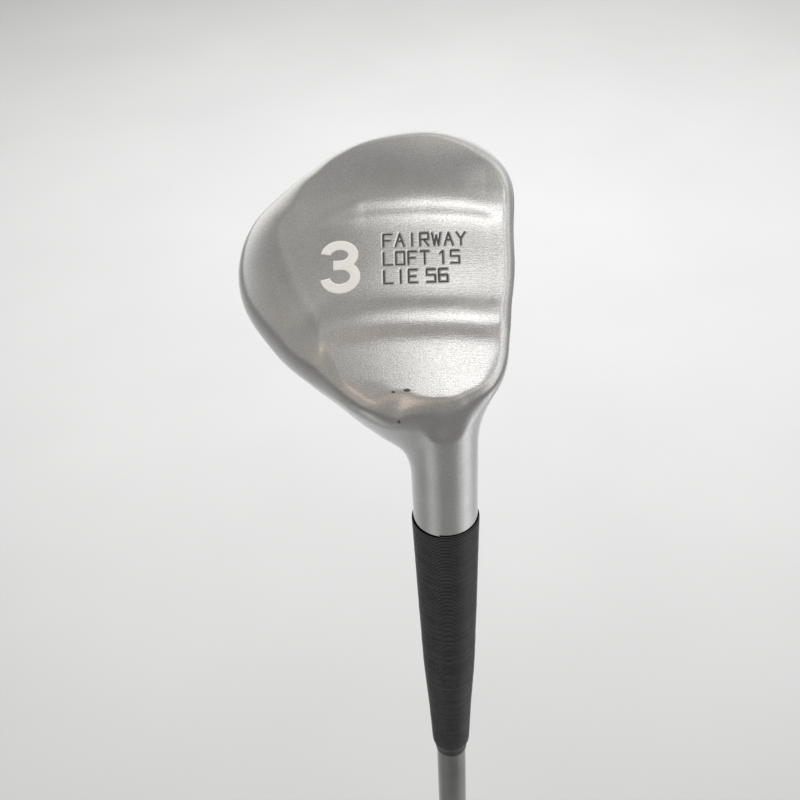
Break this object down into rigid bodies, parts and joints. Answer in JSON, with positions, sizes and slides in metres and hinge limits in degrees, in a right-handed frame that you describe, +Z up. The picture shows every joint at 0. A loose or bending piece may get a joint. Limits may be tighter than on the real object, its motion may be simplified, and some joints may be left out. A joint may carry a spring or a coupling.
{
  "type": "fairway wood",
  "caption": "Small-headed golf fairway wood: hollow steel head with two raised sole runners, thread-whipped hosel taper, stepped steel shaft and rubber slip-on grip.",
  "frame": {"origin": "centre of the flat butt end of the grip, at the mouth of the vent hole", "axes": "+Z along the shaft from grip to head, +X out of the face towards the target, +Y such that the toe points to +Y and the crown side is +Y, the sole looks up along +Z and to -Y"},
  "size_m": [0.0711, 0.0787, 1.1164],
  "materials": {
    "head_steel": "satin polished stainless casting",
    "sole_steel": "satin polished stainless, brushed front to back",
    "white_paint": "white enamel paint fill",
    "foam": "rigid cast foam",
    "plug_rubber": "matt",
    "shaft_chrome": "bright plated steel tube, lightly worn",
    "epoxy": "cured adhesive",
    "lead": "dull",
    "cork": "cork",
    "cone_plastic": "moulded black plastic",
    "thread": "waxed braided thread, wound close",
    "tape": "paper tape",
    "grip_rubber": "matt moulded rubber",
    "cap_rubber": "hard rubber"
  },
  "bodies": {
    "root": {"head_body": "head_steel", "sole_plate": "sole_steel", "number_fill": "white_paint", "foam_core": "foam", "hosel_plug": "plug_rubber", "shaft": "shaft_chrome", "epoxy_bond": "epoxy", "tip_weight": "lead", "tip_cork": "cork", "taper_cone": "cone_plastic", "whipping_thread": "thread", "grip_tape": "tape", "grip_sleeve": "grip_rubber", "grip_cap": "cap_rubber"}
  },
  "joints": []
}
